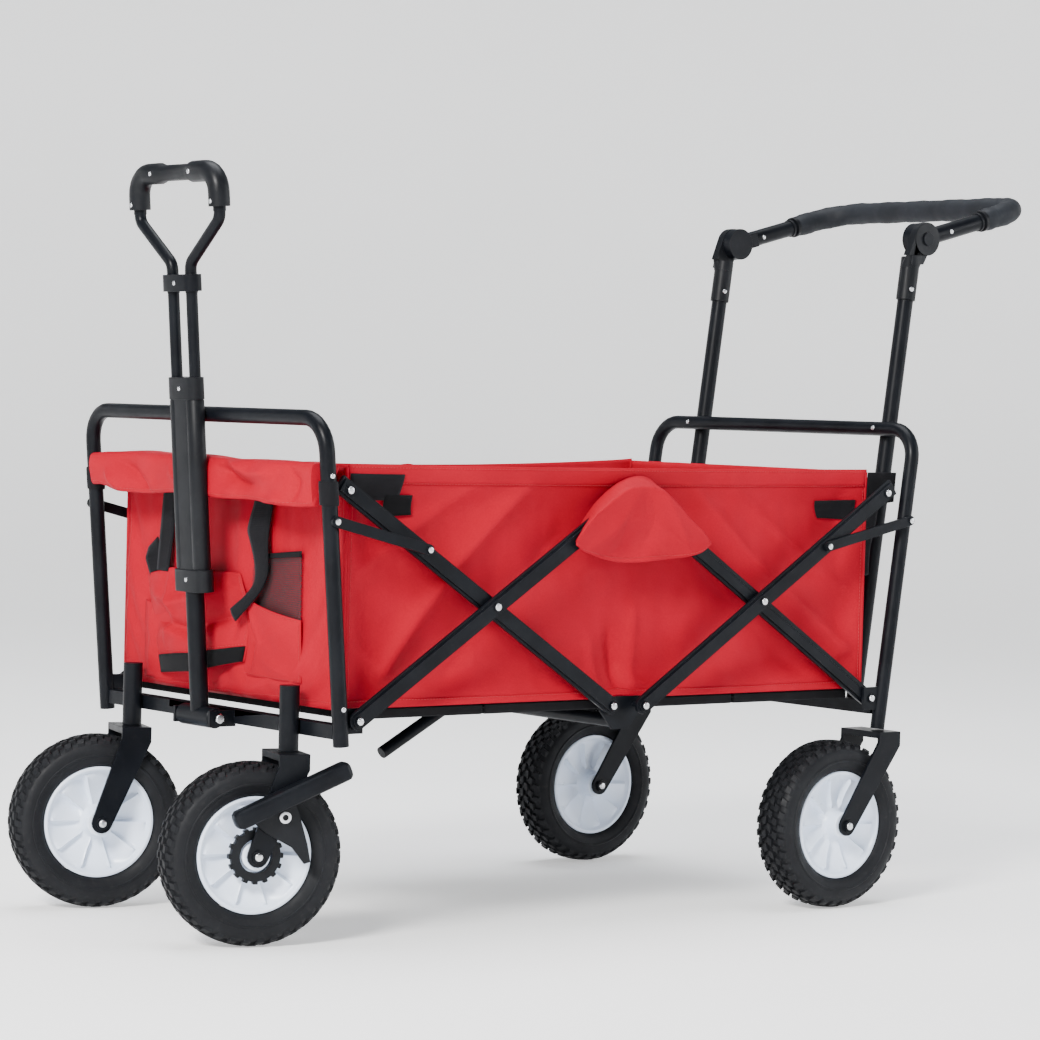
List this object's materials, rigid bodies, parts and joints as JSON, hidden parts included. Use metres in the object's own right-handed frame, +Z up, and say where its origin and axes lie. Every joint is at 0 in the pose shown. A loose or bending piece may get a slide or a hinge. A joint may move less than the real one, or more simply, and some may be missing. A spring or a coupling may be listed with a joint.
{
  "type": "folding utility wagon",
  "caption": "Folding fabric wagon: scissor-linked steel frame, red basket, swivelling front casters, telescoping pull handle and tilting push handle",
  "frame": {"origin": "on the ground, below the middle of the bounding box", "axes": "+X from the pull handle to the push handle, +Y across to the right side as seen from the pull handle's user looking forward, +Z up"},
  "size_m": [1.2688, 0.5502, 0.8834],
  "materials": {
    "powder_coat": "satin black powder coat",
    "red_cloth": "woven polyester, matte with a slight sheen",
    "black_board": "black cloth over stiff board",
    "tyre_rubber": "matte moulded rubber",
    "white_plastic": "white moulded plastic, half gloss",
    "black_plastic": "black moulded plastic, satin",
    "grip_foam": "soft black foam sleeve, matte"
  },
  "bodies": {
    "rear_frame": {"rear_arch": "powder_coat", "rear_crossbar": "powder_coat", "rear_fork_left": "powder_coat", "rear_fork_right": "powder_coat", "push_post_left": "powder_coat", "push_post_right": "powder_coat", "push_socket_left": "black_plastic", "push_socket_right": "black_plastic", "basket_side_left": "red_cloth", "basket_side_right": "red_cloth", "basket_flap_left": "red_cloth", "basket_flap_right": "red_cloth", "basket_floor": "red_cloth", "floor_board": "black_board", "basket_rear_panel": "red_cloth"},
    "rear_base_bars": {"rear_base_bar_left": "powder_coat", "rear_base_bar_right": "powder_coat"},
    "rear_tie_bars": {"rear_tie_bar_left": "powder_coat", "rear_tie_bar_right": "powder_coat"},
    "top_links": {"top_link_left": "powder_coat", "top_link_right": "powder_coat"},
    "front_base_bars": {"front_base_bar_left": "powder_coat", "front_base_bar_right": "powder_coat"},
    "front_tie_bars": {"front_tie_bar_left": "powder_coat", "front_tie_bar_right": "powder_coat"},
    "bottom_link": {"bottom_link": "powder_coat", "centre_foot": "powder_coat"},
    "front_frame": {"front_arch": "powder_coat", "front_crossbar": "powder_coat", "basket_front_panel": "red_cloth", "basket_front_cuff": "red_cloth"},
    "front_struts": {"front_strut_left": "powder_coat", "front_strut_right": "powder_coat"},
    "rear_struts": {"rear_strut_left": "powder_coat", "rear_strut_right": "powder_coat"},
    "caster_left": {"front_fork_left": "powder_coat"},
    "caster_right": {"front_fork_right": "powder_coat"},
    "front_wheel_left": {"front_wheel_left_tyre": "tyre_rubber", "front_wheel_left_rim": "white_plastic", "brake_ring": "black_plastic"},
    "front_wheel_right": {"front_wheel_right_tyre": "tyre_rubber", "front_wheel_right_rim": "white_plastic"},
    "rear_wheel_left": {"rear_wheel_left_tyre": "tyre_rubber", "rear_wheel_left_rim": "white_plastic"},
    "rear_wheel_right": {"rear_wheel_right_tyre": "tyre_rubber", "rear_wheel_right_rim": "white_plastic"},
    "brake": {"brake_pedal": "black_plastic"},
    "pull_lower": {"pull_tube": "powder_coat", "pull_sleeve": "black_plastic"},
    "pull_upper": {"pull_stage_left": "powder_coat", "pull_stage_right": "powder_coat", "pull_yoke": "powder_coat", "pull_grip": "black_plastic"},
    "push_handle": {"push_arm_left": "powder_coat", "push_arm_right": "powder_coat", "push_grip": "grip_foam"}
  },
  "joints": [
    {"name": "fold", "type": "hinge", "parent": "rear_frame", "child": "rear_base_bars", "pos_m": [0.3065, 0, 0.2525], "axis": [0, 1, 0], "range_deg": [0, 41], "deforming": ["basket_side_left", "basket_side_right", "basket_flap_left", "basket_flap_right", "basket_floor", "floor_board"]},
    {"name": "rear_tie_turn", "type": "hinge", "parent": "rear_base_bars", "child": "rear_tie_bars", "pos_m": [0.1215, 0, 0.374], "axis": [0, 1, 0], "range_deg": [-82, 0]},
    {"name": "top_link_turn", "type": "hinge", "parent": "rear_base_bars", "child": "top_links", "pos_m": [-0.0579, 0, 0.49182], "axis": [0, 1, 0], "range_deg": [-41, 0]},
    {"name": "front_base_turn", "type": "hinge", "parent": "top_links", "child": "front_base_bars", "pos_m": [-0.0971, 0, 0.49182], "axis": [0, 1, 0], "range_deg": [-41, 0]},
    {"name": "front_tie_turn", "type": "hinge", "parent": "front_base_bars", "child": "front_tie_bars", "pos_m": [-0.2765, 0, 0.374], "axis": [0, 1, 0], "range_deg": [0, 82]},
    {"name": "front_frame_turn", "type": "hinge", "parent": "front_base_bars", "child": "front_frame", "pos_m": [-0.4615, 0, 0.2525], "axis": [0, 1, 0], "range_deg": [0, 41]},
    {"name": "bottom_link_turn", "type": "hinge", "parent": "rear_tie_bars", "child": "bottom_link", "pos_m": [-0.0579, 0, 0.25618], "axis": [0, 1, 0], "range_deg": [0, 41]},
    {"name": "front_strut_turn", "type": "hinge", "parent": "front_frame", "child": "front_struts", "pos_m": [-0.50032, 0, 0.47], "axis": [0, 1, 0], "range_deg": [-72.63, 0]},
    {"name": "rear_strut_turn", "type": "hinge", "parent": "rear_frame", "child": "rear_struts", "pos_m": [0.35503, 0, 0.47], "axis": [0, 1, 0], "range_deg": [0, 68.09]},
    {"name": "caster_swivel_left", "type": "hinge", "parent": "front_frame", "child": "caster_left", "pos_m": [-0.494, -0.164, 0.213], "axis": [0, 0, 1], "continuous": true},
    {"name": "front_wheel_spin_left", "type": "hinge", "parent": "caster_left", "child": "front_wheel_left", "pos_m": [-0.53416, -0.15172, 0.1015], "axis": [0.2924, 0.9563, 0], "continuous": true},
    {"name": "rear_wheel_spin_left", "type": "hinge", "parent": "rear_frame", "child": "rear_wheel_left", "pos_m": [0.25, -0.2371, 0.1015], "axis": [0, 1, 0], "continuous": true},
    {"name": "caster_swivel_right", "type": "hinge", "parent": "front_frame", "child": "caster_right", "pos_m": [-0.494, 0.164, 0.213], "axis": [0, 0, 1], "continuous": true},
    {"name": "front_wheel_spin_right", "type": "hinge", "parent": "caster_right", "child": "front_wheel_right", "pos_m": [-0.53416, 0.17628, 0.1015], "axis": [0.2924, 0.9563, 0], "continuous": true},
    {"name": "rear_wheel_spin_right", "type": "hinge", "parent": "rear_frame", "child": "rear_wheel_right", "pos_m": [0.25, 0.2371, 0.1015], "axis": [0, 1, 0], "continuous": true},
    {"name": "brake_press", "type": "hinge", "parent": "caster_left", "child": "brake", "pos_m": [-0.51975, -0.19691, 0.1455], "axis": [0.2924, 0.9563, 0], "range_deg": [0, 15]},
    {"name": "pull_handle_tilt", "type": "hinge", "parent": "front_frame", "child": "pull_lower", "pos_m": [-0.505, 0, 0.2385], "axis": [0, -1, 0], "range_deg": [0, 100]},
    {"name": "pull_handle_extend", "type": "slide", "parent": "pull_lower", "child": "pull_upper", "axis": [-0.0743, 0, 0.9972], "range_m": [-0.088, 0.105]},
    {"name": "push_handle_tilt", "type": "hinge", "parent": "rear_frame", "child": "push_handle", "pos_m": [0.4355, 0, 0.8195], "axis": [0, -1, 0], "range_deg": [-60, 75]}
  ],
  "couplings": [
    {"joint": "rear_tie_turn", "follows": "fold", "ratio": -2},
    {"joint": "top_link_turn", "follows": "fold", "ratio": -1},
    {"joint": "front_base_turn", "follows": "fold", "ratio": -1},
    {"joint": "front_tie_turn", "follows": "fold", "ratio": 2},
    {"joint": "front_frame_turn", "follows": "fold", "ratio": 1},
    {"joint": "bottom_link_turn", "follows": "fold", "ratio": 1},
    {"joint": "front_strut_turn", "follows": "fold", "ratio": -1.7715},
    {"joint": "rear_strut_turn", "follows": "fold", "ratio": 1.6607}
  ]
}
